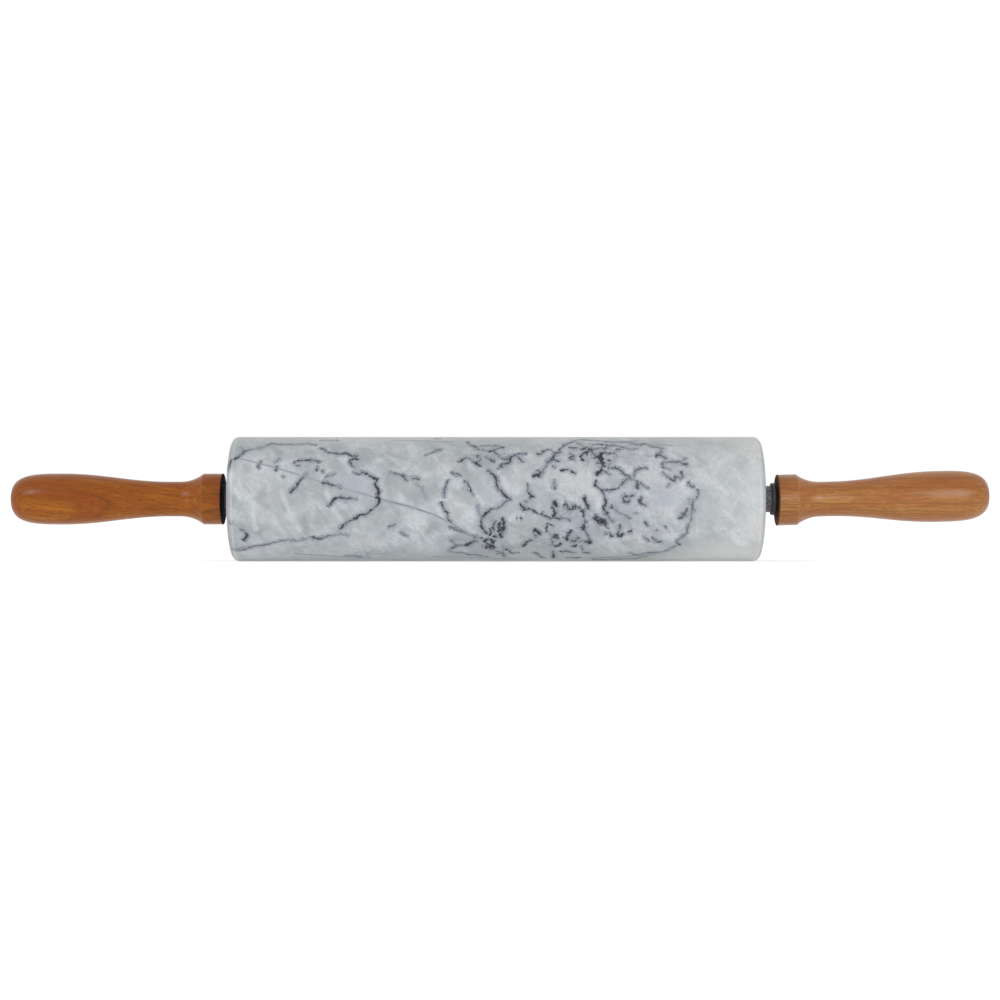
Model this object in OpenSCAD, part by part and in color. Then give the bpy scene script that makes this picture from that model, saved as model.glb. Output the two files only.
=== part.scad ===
// Marble rolling pin: a stone barrel that turns and slides on a steel axle, between two turned
// wooden handles. +X runs along the axle to the right handle, and +Z is up. The origin is the
// centre of the barrel, on its axis. All sizes are in millimetres.

/* [Barrel] */
// Length of the marble barrel, face to face
barrel_len = 254; // [200:1:330]
// Diameter of the marble barrel
barrel_d = 60; // [50:0.5:75]
// Radius of the rounded edge at each end of the barrel
barrel_edge_r = 3; // [1:0.5:6]
// Chamfer round each mouth of the barrel's bore
bore_chamfer = 0.6; // [0.2:0.1:1]

/* [Bearings] */
// Outside diameter of a bearing's sleeve, which slides in the barrel's bore
sleeve_d = 12.7; // [12.5:0.1:16]
// Length of the sleeve, up to its flange
sleeve_len = 25.4; // [15:0.1:35]
// How far the flange stands out round the sleeve
flange_lip = 1.4; // [0.8:0.1:2.5]
// Thickness of the flange
flange_t = 1.9; // [1.2:0.1:3]
// Chamfer round the flange's rims and the sleeve's inner end
bearing_chamfer = 0.3; // [0.1:0.05:0.5]

/* [Axle] */
// Diameter of the axle in the bearings, and over the threads on its ends
journal_d = 8; // [6:0.25:9]
// Height of the shoulder behind each bearing, where the axle's thicker middle starts
shoulder_step = 0.75; // [0.4:0.05:1]
// How far the axle reaches into each handle
axle_reach = 28; // [26:0.5:32]
// Pitch of the threads
thread_pitch = 1.25; // [1:0.05:1.75]
// Depth of the threads
thread_depth = 0.7; // [0.4:0.05:0.8]
// Chamfer round each end of the axle
axle_chamfer = 0.8; // [0.4:0.1:1]

/* [Washers and inserts] */
// Outside diameter of the thrust washers
washer_d = 14.6; // [13:0.1:16]
// Thickness of the thrust washers
washer_t = 0.9; // [0.6:0.1:2]
// Length of the threaded insert in each handle
insert_len = 18; // [12:0.5:19]
// Thickness of the insert's wall, outside the threads
insert_wall = 1.5; // [1:0.1:2]
// Depth of the barbs round the insert
barb_depth = 0.35; // [0.2:0.05:0.5]
// Number of barbs along the insert
barb_count = 6; // [3:1:8]

/* [Handles] */
// Length of each handle
handle_len = 102; // [90:0.1:130]
// Diameter of the collar next to the barrel
collar_d = 24.6; // [23:0.1:32]
// Length of the collar
collar_len = 9.4; // [6:0.1:14]
// Radius of the hollow that runs from the collar down to the neck
hollow_r = 18.5; // [12:0.5:25]
// Diameter of the neck
neck_d = 16.8; // [15.5:0.1:20]
// Length of the straight stretch of the neck
neck_len = 5.5; // [2:0.5:10]
// Diameter of the grip at its thickest
grip_d = 24.7; // [22:0.1:32]
// Length of the rounded butt, from the thickest part of the grip
butt_len = 25; // [12:0.1:32]
// Squareness of the rounded butt: 2 is an ellipse, and more is squarer
butt_power = 3.4; // [2:0.1:4]
// Diameter of the flat that the butt ends in
butt_flat_d = 6; // [2:0.5:12]
// How far the right handle's turned outside leans up, off its drilled hole, in degrees
right_lean = 1.3; // [0:0.1:1.5]
// Distance from the handle's face to the point that the lean turns about
lean_at = 23; // [10:0.5:30]
// Depth of the drilled hole past the end of the axle
hole_spare = 4; // [2:0.5:8]
// Angle of the drill's point, in degrees
drill_point = 118; // [90:2:140]

/* [Play and clearances] */
// How far the axle can slide each way from the middle of the barrel
end_play = 3.8; // [2:0.1:6]
// How far the axle lies to the right of the barrel's middle at rest
rest_shift = 1.9; // [-2:0.1:2]
// Radial clearance of a sleeve in the barrel's bore, and of the axle in the sleeve
running_gap = 0.05; // [0.02:0.01:0.1]
// Clearance between a bearing's flange and its washer
thrust_gap = 0.1; // [0.05:0.05:0.3]
// Clearance between a bearing's inner end and the axle's shoulder
shoulder_gap = 0.3; // [0.1:0.05:0.5]
// Radial clearance of the washers round the axle
washer_gap = 0.2; // [0.1:0.05:0.4]
// Radial clearance of an insert's threads round the axle's
thread_gap = 0.1; // [0.05:0.01:0.15]
// Radial clearance of an insert in its handle, which glue fills
glue_gap = 0.05; // [0.02:0.01:0.1]
// Radial clearance of the drilled hole round the axle's end
hole_gap = 0.3; // [0.2:0.05:0.5]

/* [Hidden] */

marble = "#c3c7c9";
nylon = "#3c3d40";
steel = "#9a9da1";
brass = "#b99a55";
left_wood = "#94562d";
right_wood = "#b4814f";

// Facets of a full turn where only a mesh is drawn, and points along each curve of an outline
turn_facets = 128;
curve_points = 24;
// How far a cutting shape runs past the face that it cuts
overcut = 1;

bore_r = sleeve_d / 2 + running_gap;
flange_r = sleeve_d / 2 + flange_lip;
journal_r = journal_d / 2;
journal_hole_r = journal_r + running_gap;
core_r = journal_r + shoulder_step;
insert_r = journal_r + insert_wall;
collar_r = collar_d / 2;
neck_r = neck_d / 2;
grip_r = grip_d / 2;

// Places along the axle, measured from its own middle outwards
flange_x = barrel_len / 2 + end_play;
sleeve_end_x = flange_x - sleeve_len;
shoulder_x = sleeve_end_x - shoulder_gap;
washer_x = flange_x + flange_t + thrust_gap;
face_x = washer_x + washer_t;

// Places along a handle, measured from its face outwards
hollow_turn = acos(1 - (collar_r - neck_r) / hollow_r);
neck_x = collar_len + hollow_r * sin(hollow_turn);
swell_x = neck_x + neck_len;
grip_x = handle_len - butt_len;
// The butt's curve stops where it comes in to the flat, so the whole curve would reach further
butt_turn = acos(pow(butt_flat_d / grip_d, butt_power / 2));
butt_reach = butt_len / pow(sin(butt_turn), 2 / butt_power);
hole_depth = axle_reach + hole_spare;

// Lays a shape that is drawn along +Z along +X
module along_x() rotate([0, 90, 0]) children();

// Puts a right-hand shape in its place on the axle: side is -1 on the left and 1 on the right
module on_side(side)
    translate([rest_shift, 0, 0])
        mirror([side < 0 ? 1 : 0, 0, 0])
            children();

// Turns a half outline, given as radius and distance along the axle, into a solid along +X
module turned(outline)
    along_x()
        rotate_extrude($fn = turn_facets)
            polygon(outline);

// Crests and roots of the rings that stand for a thread, from one place along the axle outwards
function thread_rings(crest_r, start, turns) = [
    for (i = [0 : turns - 1])
        each [
            [crest_r, start + i * thread_pitch],
            [crest_r - thread_depth, start + (i + 0.5) * thread_pitch]
        ]
];

// How many whole turns of thread a stretch holds
function turns_in(stretch) = floor(stretch / thread_pitch);

// Half outline of the barrel, with true arcs at its edges
module barrel_outline() {
    half = barrel_len / 2;
    edge_r = barrel_d / 2 - barrel_edge_r;
    difference() {
        union() {
            translate([bore_r, -half])
                square([edge_r - bore_r, barrel_len]);
            translate([bore_r, barrel_edge_r - half])
                square([barrel_d / 2 - bore_r, barrel_len - 2 * barrel_edge_r]);
            for (end = [-1, 1])
                translate([edge_r, end * (half - barrel_edge_r)])
                    circle(r = barrel_edge_r, $fn = turn_facets);
        }
        for (end = [0, 1])
            mirror([0, end])
                polygon([
                    [bore_r - overcut, half - bore_chamfer - overcut],
                    [bore_r + bore_chamfer + overcut, half + overcut],
                    [bore_r - overcut, half + overcut]
                ]);
    }
}

module barrel()
    color(marble)
        along_x()
            rotate_extrude($fn = 2 * turn_facets)
                barrel_outline();

// A nylon sleeve with a flange: the axle turns in it, and it slides in the barrel
module bearing(side)
    color(nylon)
        on_side(side)
            turned([
                [journal_hole_r, sleeve_end_x],
                [sleeve_d / 2 - bearing_chamfer, sleeve_end_x],
                [sleeve_d / 2, sleeve_end_x + bearing_chamfer],
                [sleeve_d / 2, flange_x],
                [flange_r - bearing_chamfer, flange_x],
                [flange_r, flange_x + bearing_chamfer],
                [flange_r, flange_x + flange_t - bearing_chamfer],
                [flange_r - bearing_chamfer, flange_x + flange_t],
                [journal_hole_r, flange_x + flange_t]
            ]);

// The right half of the axle: thick middle, shoulder, journal and threaded end
axle_half = concat(
    [[0, 0], [core_r, 0], [core_r, shoulder_x], [journal_r, shoulder_x]],
    thread_rings(journal_r, face_x, turns_in(axle_reach - axle_chamfer)),
    [
        [journal_r, face_x + turns_in(axle_reach - axle_chamfer) * thread_pitch],
        [journal_r, face_x + axle_reach - axle_chamfer],
        [journal_r - axle_chamfer, face_x + axle_reach],
        [0, face_x + axle_reach]
    ]
);

module axle()
    color(steel)
        for (side = [-1, 1])
            on_side(side)
                turned(axle_half);

// A steel ring between a bearing's flange and its handle
module washer(side)
    color(steel)
        on_side(side)
            turned([
                [journal_r + washer_gap, washer_x],
                [washer_d / 2, washer_x],
                [washer_d / 2, washer_x + washer_t],
                [journal_r + washer_gap, washer_x + washer_t]
            ]);

// A barbed brass tube, threaded inside, glued into the handle's hole
insert_half = concat(
    thread_rings(journal_r + thread_gap, face_x, turns_in(insert_len)),
    [
        [journal_r + thread_gap, face_x + turns_in(insert_len) * thread_pitch],
        [journal_r + thread_gap, face_x + insert_len]
    ],
    [
        for (i = [barb_count - 1 : -1 : 0])
            each [
                [insert_r - barb_depth, face_x + (i + 1) * insert_len / barb_count],
                [insert_r, face_x + i * insert_len / barb_count]
            ]
    ]
);

module insert(side)
    color(brass)
        on_side(side)
            turned(insert_half);

// Half outline of a handle: collar, hollow, neck, swelling grip and rounded butt
handle_outline = concat(
    [[0, -overcut], [collar_r, -overcut]],
    [
        for (i = [curve_points : -1 : 0])
            let (turn = hollow_turn * i / curve_points)
                [neck_r + hollow_r * (1 - cos(turn)), neck_x - hollow_r * sin(turn)]
    ],
    [
        for (i = [0 : curve_points])
            let (part = i / curve_points)
                [
                    neck_r + (grip_r - neck_r) * (1 - cos(180 * part)) / 2,
                    swell_x + (grip_x - swell_x) * part
                ]
    ],
    [
        for (i = [1 : curve_points])
            let (turn = butt_turn * i / curve_points)
                [
                    grip_r * pow(cos(turn), 2 / butt_power),
                    grip_x + butt_reach * pow(sin(turn), 2 / butt_power)
                ]
    ],
    [[0, handle_len]]
);

// The drilled hole in a handle: a socket for the insert, room for the axle and the drill's point
module handle_hole() {
    socket_r = insert_r + glue_gap;
    hole_r = journal_r + hole_gap;
    turned([
        [0, -overcut],
        [socket_r, -overcut],
        [socket_r, insert_len],
        [hole_r, insert_len],
        [hole_r, hole_depth],
        [0, hole_depth + hole_r / tan(drill_point / 2)]
    ]);
}

// A turned handle. Its face is cut square to the hole, also where its outside leans
module handle(side, wood, lean) {
    reach = handle_len + overcut;
    width = 2 * max(collar_d, grip_d);
    color(wood)
        on_side(side)
            translate([face_x, 0, 0])
                difference() {
                    intersection() {
                        translate([lean_at, 0, 0])
                            rotate([0, -lean, 0])
                                translate([-lean_at, 0, 0])
                                    turned(handle_outline);
                        translate([0, -width / 2, -width / 2])
                            cube([reach, width, width]);
                    }
                    handle_hole();
                }
}

barrel();
bearing(-1);  // left_bearing
bearing(1);  // right_bearing
axle();
washer(-1);  // left_washer
washer(1);  // right_washer
insert(-1);  // left_insert
insert(1);  // right_insert
handle(-1, left_wood, 0);  // left_handle
handle(1, right_wood, right_lean);  // right_handle
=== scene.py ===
"""A marble rolling pin: a polished marble barrel on a steel axle between two turned wooden handles.

Lengths are in metres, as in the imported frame, except where a name ends in mm or a comment says
millimetres: stone and wood patterns are worked out in millimetres.
"""
import math

import bpy
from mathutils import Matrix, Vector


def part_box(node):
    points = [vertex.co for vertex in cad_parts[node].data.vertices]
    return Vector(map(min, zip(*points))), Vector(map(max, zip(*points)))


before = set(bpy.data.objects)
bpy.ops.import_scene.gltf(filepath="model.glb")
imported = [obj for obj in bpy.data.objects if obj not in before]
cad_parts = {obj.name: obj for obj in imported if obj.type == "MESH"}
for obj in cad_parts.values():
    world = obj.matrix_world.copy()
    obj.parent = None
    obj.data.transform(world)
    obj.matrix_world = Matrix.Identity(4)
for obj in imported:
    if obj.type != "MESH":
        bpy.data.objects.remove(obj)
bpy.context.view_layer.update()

# The camera stands square to the middle of the pin, within half a millimetre of its axis in height.
# Its distance follows from how far the barrel's round ends bulge in the photograph.
MM = 0.001
CAMERA_X = 1.86 * MM
CAMERA_DISTANCE = 0.986
CAMERA_DROP = 0.45 * MM
LENS_MM = 73.4
SENSOR_MM = 36
scene = bpy.context.scene
camera_data = bpy.data.cameras.new("camera")
camera_data.lens = LENS_MM
camera_data.sensor_width = SENSOR_MM
camera_data.sensor_fit = "HORIZONTAL"
camera = bpy.data.objects.new("camera", camera_data)
camera.location = (CAMERA_X, -CAMERA_DISTANCE, -CAMERA_DROP)
camera.rotation_euler = (math.radians(90), 0, 0)
scene.collection.objects.link(camera)
scene.camera = camera
scene.view_settings.view_transform = "Standard"


# The pin lies on a white studio table in a white room, lit by two soft lamps.
# Room and table show as plain white to the camera and in reflections, and light the pin less.
def linear(hex_colour):
    """An sRGB hex colour as linear red, green, blue and alpha."""
    parts = [int(hex_colour[i:i + 2], 16) / 255 for i in (1, 3, 5)]
    return [p / 12.92 if p <= 0.04045 else ((p + 0.055) / 1.055) ** 2.4 for p in parts] + [1]


def add(tree, kind, inputs, out=0, **settings):
    """Adds a shader node with its settings and links. Returns an output, or the node if out is None.

    Sockets go by name or number. MapRange turns the range from 1 to 2 into that from 3 to 4,
    each 0 to 1 where left out. Mix goes from 2 to 3 by the share in 0, or from colour 6 to
    colour 7, which comes out at 2.
    """
    node = tree.nodes.new("ShaderNode" + kind)
    for name, value in settings.items():
        setattr(node, name, value)
    for socket, value in inputs.items():
        if isinstance(value, bpy.types.NodeSocket):
            tree.links.new(value, node.inputs[socket])
        else:
            node.inputs[socket].default_value = value
    return node if out is None or not node.outputs else node.outputs[out]


def new_material(name):
    """An empty node material and its node tree."""
    material = bpy.data.materials.new(name)
    material.use_nodes = True
    material.node_tree.nodes.clear()
    return material, material.node_tree


def strength_by_ray(tree, lighting, shown):
    """One strength for lighting the pin, and another for the camera, reflections and glass."""
    ray = add(tree, "LightPath", {}, out=None).outputs
    seen = add(tree, "Math", {0: ray["Is Camera Ray"], 1: ray["Is Glossy Ray"]}, operation="MAXIMUM")
    seen = add(tree, "Math", {0: seen, 1: ray["Is Transmission Ray"]}, operation="MAXIMUM")
    return add(tree, "MapRange", {0: seen, 3: lighting, 4: shown})


# A strength of 1 shows as white
ROOM_SHOWN = 1.0
ROOM_LIGHTING = 0.67
WHITE_LIGHT = linear("#FFFFFF")
room = bpy.data.worlds.new("white room")
room.use_nodes = True
tree = room.node_tree
tree.nodes.clear()
scene.world = room
strength = strength_by_ray(tree, ROOM_LIGHTING, ROOM_SHOWN)
glow = add(tree, "Background", {"Color": WHITE_LIGHT, "Strength": strength})
add(tree, "OutputWorld", {"Surface": glow})

TABLE_SIZE = 8
half = TABLE_SIZE / 2
table_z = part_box("barrel")[0].z
corners = [(-half, -half, table_z), (half, -half, table_z), (half, half, table_z), (-half, half, table_z)]
table_mesh = bpy.data.meshes.new("table")
table_mesh.from_pydata(corners, [], [(0, 1, 2, 3)])
table = bpy.data.objects.new("table", table_mesh)
scene.collection.objects.link(table)

# Milk-white acrylic, lit softly from below as a studio table is, so the underside of the pin
# stays bright and the shadow stays faint
TABLE_WHITE = "#F7F7F7"
TABLE_LIGHTING = 0.3
TABLE_SHOWN = 0.46
material, tree = new_material("milk-white acrylic, lit from below")
face = add(tree, "BsdfDiffuse", {"Color": linear(TABLE_WHITE)})
strength = strength_by_ray(tree, TABLE_LIGHTING, TABLE_SHOWN)
glow = add(tree, "Emission", {"Color": WHITE_LIGHT, "Strength": strength})
both = add(tree, "AddShader", {0: face, 1: glow})
add(tree, "OutputMaterial", {"Surface": both})
table_mesh.materials.append(material)


def soft_lamp(name, watts, place, size_x, size_y):
    """A large soft lamp that faces the middle of the pin."""
    data = bpy.data.lights.new(name, "AREA")
    data.shape = "RECTANGLE"
    data.size = size_x
    data.size_y = size_y
    data.energy = watts
    lamp = bpy.data.objects.new(name, data)
    lamp.location = place
    towards = -lamp.location
    lamp.rotation_euler = towards.to_track_quat("-Z", "Y").to_euler()
    scene.collection.objects.link(lamp)


# The right lamp shows as the soft light along the right handle, and the left one on the left butt
soft_lamp("right lamp", watts=5.6, place=(0.62, -1.3, 0.16), size_x=0.5, size_y=0.9)
soft_lamp("left lamp", watts=4.8, place=(-0.99, -1.15, 0.85), size_x=0.45, size_y=0.45)

# The barrel is one piece of white marble with grey-black veins, cored, turned and ground round,
# and polished to a satin. Its veins are the stone's own: they were broken and healed in the rock,
# so they run in short angular lengths, thicken into dark knots and fade to hairlines.
BARREL_R_MM = 30
ARC_MM = BARREL_R_MM * math.pi / 180

# Routes of the veins that show in front: millimetres along the barrel from its middle, degrees
# up round it from the front, and how dark the vein is there. 0.5 is a hairline, 1 is a dark
# line about a millimetre wide, and 1.6 and above is a thick black knot.
VEIN_HALF_WIDTH_MM = 0.78
VEINS = [
    # Left end
    [(-127, 28, 1.5), (-125, 37, 1.5), (-121, 44, 1.1), (-119.5, 49, 1.1), (-116, 52, 0.8),
     (-110.5, 54, 0.5), (-107.5, 62, 0.8), (-104, 60, 0.8), (-96.5, 60, 0.7), (-92, 60, 0.6),
     (-90, 62, 0.9), (-85.5, 58, 0.5)],
    [(-121.5, 57, 0.5), (-119.5, 50, 0.8)],
    [(-84, 54, 1), (-81.5, 52, 1.1), (-80, 48, 1), (-75, 45, 1.2), (-70.5, 46, 1.1),
     (-68, 42, 1.2), (-65, 43, 1.2)],
    [(-69, 37, 1.4), (-66.5, 40, 1.3), (-64.5, 38, 1.1)],
    [(-68.5, 36, 1.1), (-67, 29, 0.8)],
    [(-95.5, 34, 1), (-94, 37, 1.1), (-91.5, 37, 1.1), (-88, 38, 1.2), (-85, 37, 1.2),
     (-83, 35, 1.3)],
    [(-94, 32, 0.8), (-92, 31, 0.6)],
    [(-84, 31, 0.8), (-84.5, 26, 0.9)],
    [(-82, 27, 0.7), (-81, 24, 0.8)],
    [(-80.5, 20, 0.9), (-75.5, 23, 0.6)],
    [(-81.5, 15, 1.2), (-79, 14, 1.2), (-75.5, 12, 1), (-72, 9, 0.4)],
    [(-79, -6, 1.2), (-75.5, 0, 1.3), (-73, 2, 1.2), (-70, 0, 1), (-65, 0, 0.5)],
    [(-97, 5, 1.4), (-94, 11, 1.4), (-91.5, 18, 1.1), (-88.5, 24, 0.5)],
    [(-112.5, 29, 1.1), (-110.5, 37, 0.9)],
    [(-103.5, 26, 1), (-103.5, 32, 0.7)],
    [(-104.5, 35, 0.7), (-102, 40, 0.6)],
    [(-100, 20, 0.9), (-99.5, 22, 0.9)],
    [(-121.5, -28, 0.7), (-119, -29, 1.1), (-117, -35, 1.2), (-119.5, -41, 1.4)],
    [(-125.5, -21, 0.8), (-124, -24, 0.6)],
    [(-125.5, -53, 0.7), (-121, -54, 1), (-116, -50, 0.8), (-109.5, -46, 0.8),
     (-102.5, -42, 0.8), (-98, -40, 0.6), (-94.5, -41, 0.6), (-89.5, -38, 0.8),
     (-87, -36, 0.8), (-84.5, -39, 1.2), (-81.5, -38, 0.8), (-79.5, -36, 0.7),
     (-75.5, -34, 0.7), (-72.5, -32, 0.6)],
    [(-73.5, -28, 1.4), (-71.5, -23, 1.1), (-68.5, -20, 1.1), (-66, -18, 1.6), (-63.5, -14, 1.1),
     (-60.5, -14, 1), (-59, -10, 1.6), (-57.5, -9, 1.1), (-55, -4, 1.1)],
    [(-71.5, -32, 0.7), (-69.5, -36, 0.6)],
    [(-67.5, 26, 0.7), (-64, 23, 1.1), (-62.5, 25, 1.1), (-60, 22, 1.3), (-58, 19, 1.4),
     (-56.5, 18, 1.4)],
    [(-56, 19, 1.4), (-57, 13, 1.4), (-55.5, 9, 1.7), (-55, 5, 1.6), (-56.5, 2, 1.6),
     (-54.5, 0, 1.6), (-55, -4, 1.2)],
    [(-72.5, -66, 0.7), (-68, -64, 0.8), (-65, -69, 0.6)],
    [(-84.5, 70, 0.5), (-75.5, 69, 0.5)],
    # Between the left loop and the middle
    [(-50.5, 25, 0.7), (-46.5, 23, 0.9), (-44, 21, 1.1), (-41.5, 16, 1.1)],
    [(-40, 19, 0.7), (-37.5, 19, 0.9), (-35.5, 18, 1)],
    [(-38, 14, 0.4), (-34.5, 9, 0.5), (-33, 0, 0.4)],
    [(-51, -26, 0.9), (-49.5, -26, 0.9), (-47, -23, 0.6)],
    [(-45, -31, 0.8), (-41.5, -36, 0.9)],
    [(-33.5, 44, 0.6), (-30, 46, 0.7), (-27.5, 51, 0.8), (-25.5, 54, 0.7)],
    [(-29.5, 76, 0.7), (-26.5, 76, 0.7)],
    # Long streaks high up, where the barrel turns away
    [(46, 59, 0.8), (51, 61, 0.8), (56, 57, 0.7)],
    [(49, 54, 0.8), (52.5, 53, 0.9)],
    [(54.5, 61, 0.7), (60.5, 55, 0.8), (64.5, 51, 0.7)],
    [(51, 66, 0.7), (56, 65, 0.7), (67, 67, 0.6)],
    [(35, 55, 0.7), (38.5, 53, 0.7)],
    [(-8, 57, 0.6), (-4, 58, 0.7), (3, 56, 0.5)],
    # Left of the middle
    [(-14, 66, 0.8), (-12.5, 60, 0.8), (-11, 58, 0.9), (-9.5, 55, 1), (-7.5, 51, 0.8), (-4.5, 50, 0.9),
     (-1.5, 50, 0.9), (-0.5, 47, 0.9), (0.5, 44, 1), (2, 40, 0.9), (4, 39, 1)],
    [(-1.5, 50, 0.8), (0, 52, 0.9), (2, 54, 0.9), (4, 55, 1)],
    [(-8.5, 44, 1.4), (-8.5, 41, 1.2)],
    [(-5, 42, 0.9), (-3, 39, 0.8), (-0.5, 36, 1)],
    [(-18.5, 36, 0.9), (-17, 36, 1.1), (-15.5, 39, 1.2), (-13.5, 40, 0.8), (-11.5, 38, 0.6),
     (-10, 35, 1.1), (-9, 34, 1.4), (-7, 31, 1.1)],
    [(-9, 35, 1.2), (-7, 39, 1)],
    [(1, 29, 1.2), (1, 28, 1.2)],
    [(-21.5, 24, 0.8), (-19.5, 23, 1), (-17.5, 23, 0.9), (-16, 21, 0.6)],
    [(-22.5, 18, 0.8), (-23, 14, 1), (-23.5, 11, 0.9), (-24, 6, 0.8), (-24.5, 1, 0.7)],
    [(-15, 17, 0.8), (-13.5, 14, 1), (-12, 10, 1), (-11.5, 6, 0.9), (-10, 3, 0.7)],
    [(-4.5, 27, 1), (-2, 23, 1.2), (-0.5, 20, 1.4), (0, 18, 1.4), (0, 14, 1.2), (1, 10, 1.2),
     (2.5, 7, 1), (4, 3, 1.4), (5.5, 1, 1.4), (7, 0, 1)],
    [(-25.5, -3, 0.9), (-25, -7, 1.1), (-23.5, -11, 0.9), (-23, -12, 1.2), (-22.5, -18, 0.7),
     (-21, -22, 0.8)],
    [(-22.5, -26, 0.8), (-20.5, -27, 0.8), (-18.5, -29, 0.6), (-14.5, -32, 0.7), (-13, -34, 0.7),
     (-10.5, -35, 0.8), (-9, -38, 0.8), (-6, -38, 0.7)],
    [(-22.5, -54, 0.7), (-19, -47, 0.8), (-17, -46, 0.6), (-15, -48, 1), (-13.5, -46, 1.5),
     (-12.5, -44, 1.8), (-11, -43, 2), (-9, -41, 1.6)],
    [(-20.5, -41, 0.6), (-20, -44, 0.7), (-19, -47, 0.7)],
    [(-22.5, -54, 0.7), (-19.5, -58, 0.8), (-16, -59, 0.7), (-11.5, -63, 0.8), (-9.5, -63, 1),
     (-4, -66, 0.6)],
    [(-8.5, -5, 0.6), (-8, -10, 0.7), (-7.5, -14, 0.8), (-6.5, -17, 1.3), (-5.5, -15, 1.2),
     (-4.5, -13, 1.2), (-3.5, -11, 1.1), (-2.5, -9, 1.1), (-1.5, -8, 1.2), (-0.5, -9, 0.8), (2, -6, 0.8),
     (3.5, -4, 1), (6.5, 0, 1.1)],
    [(-6.5, -17, 1.3), (-7, -20, 1.4), (-7, -24, 1.4), (-6, -28, 1.2), (-4, -33, 1.1)],
    [(2.5, -17, 1.3), (3.5, -20, 1.7), (3.5, -25, 1.8), (3, -30, 1.9), (2.5, -35, 1.9), (3, -38, 1.3)],
    [(2, -21, 1.5), (1.5, -25, 1.7), (1.5, -31, 1.6)],
    [(0, -20, 1.2), (-1, -24, 1), (-1.5, -28, 1.5), (-0.5, -30, 1.4)],
    [(-3, -28, 1.1), (-2.5, -30, 1.4), (-3, -35, 1.1)],
    [(-1.5, -36, 1.4), (0, -36, 1.5), (1, -38, 1)],
    [(-6, -42, 1.3), (-4.5, -40, 1.6), (-3, -39, 1.6), (-1, -41, 1.6), (-1.5, -44, 1.5)],
    [(-5, -45, 1.3), (-4, -49, 1.7), (-2.5, -50, 1.8), (-1, -47, 1.5)],
    [(0, -60, 0.9), (3.5, -59, 0.8), (4, -68, 1)],
    # Middle
    [(4, 39, 1), (6, 39, 1.2), (7, 38, 1.4), (7, 41, 1), (9.5, 44, 0.8), (10.5, 46, 0.9),
     (12.5, 45, 0.8), (14.5, 46, 1.1)],
    [(7, 38, 1.2), (5.5, 35, 1.1), (3.5, 33, 1.4), (3, 34, 1.2), (2.5, 31, 1.4), (2.5, 29, 0.9)],
    [(9, 43, 0.9), (10.5, 42, 1.1), (11, 40, 1), (12.5, 36, 0.9), (13.5, 35, 0.6)],
    [(19.5, 45, 1.1), (21, 44, 1), (21.5, 45, 0.9), (22, 48, 1.1), (23.5, 50, 1.1), (25, 52, 1.2),
     (26.5, 51, 0.9)],
    [(27, 48, 1.1), (28, 46, 1.4), (30, 47, 1), (30, 51, 0.9), (31.5, 55, 0.9), (32.5, 58, 0.8),
     (34.5, 64, 0.8), (36.5, 67, 0.8), (38.5, 70, 0.6)],
    [(28, 46, 1.1), (27, 42, 1.1), (26.5, 39, 1.4), (25, 36, 1.2), (24, 35, 1.1), (24, 32, 0.9),
     (23, 29, 0.8), (22.5, 27, 1), (21, 24, 1.4), (20, 22, 1.4), (18.5, 22, 1.4), (17, 20, 1)],
    [(26.5, 39, 1.4), (28, 38, 1), (29.5, 36, 1.4)],
    [(20.5, 22, 1.4), (20, 20, 1.2)],
    [(21, 25, 1.1), (19.5, 27, 1.1)],
    [(26.5, 31, 1), (28, 29, 0.9)],
    [(30.5, 26, 1.2), (32, 28, 1), (34, 28, 0.9), (35.5, 26, 1), (36.5, 24, 1), (38, 23, 0.8)],
    [(14.5, 14, 0.8), (15, 10, 0.8), (15, 6, 0.9), (16.5, 3, 1.4), (17.5, 2, 1.2), (18.5, 1, 0.8)],
    [(16.5, 2, 1.4), (15.5, 0, 1.1)],
    [(27.5, 18, 0.7), (27.5, 13, 1), (27.5, 9, 0.9)],
    [(11, -3, 0.9), (11.5, -5, 1), (14, -10, 1.4), (15.5, -8, 0.9), (17, -10, 1.2), (18.5, -12, 1.2),
     (20, -13, 0.8), (21.5, -13, 1.2), (22, -15, 1), (23.5, -16, 1.4), (25, -17, 1.2),
     (26.5, -18, 1.2)],
    [(13, -3, 0.9), (15, -2, 0.8)],
    [(21.5, -12, 1), (22.5, -11, 0.8)],
    [(26.5, -2, 1.1), (27.5, -3, 2.1), (28, -6, 2), (29, -7, 1.1)],
    [(26, -7, 1.4), (27, -8, 1.2), (27.5, -12, 1.4), (27, -15, 1.7), (26.5, -17, 1.1)],
    [(27.5, -16, 1.4), (28.5, -18, 1), (33.5, -18, 0.8), (35, -19, 1)],
    [(31.5, -5, 1.1), (33, -5, 1.2), (34, -8, 1.1), (35, -11, 0.7), (35, -13, 0.6)],
    [(11.5, -18, 1.5), (12, -18, 1.4)],
    [(9.5, -18, 0.9), (10, -18, 0.9)],
    [(18, -30, 1.2), (18.5, -28, 1.4), (19, -30, 1.5), (20, -32, 1.4), (21, -34, 1)],
    [(23.5, -28, 1.4), (24.5, -24, 1.1), (24.5, -22, 1.4), (26, -23, 1), (27.5, -26, 0.8)],
    [(23.5, -28, 1.1), (24.5, -31, 1)],
    [(12.5, -49, 0.8), (14, -47, 1.1), (15, -42, 1.4), (17, -41, 0.8), (18, -39, 0.6)],
    [(4, -51, 0.7), (6.5, -56, 1.1), (7.5, -60, 1), (9, -58, 0.8), (11, -58, 0.6)],
    [(17, -58, 0.8), (19, -59, 1.1), (21, -65, 0.7), (23.5, -70, 0.6)],
    [(27, -55, 1.2), (27.5, -60, 1.2), (27.5, -70, 1.2)],
    [(27.5, -35, 0.6), (29, -37, 1), (30, -37, 0.8)],
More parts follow.
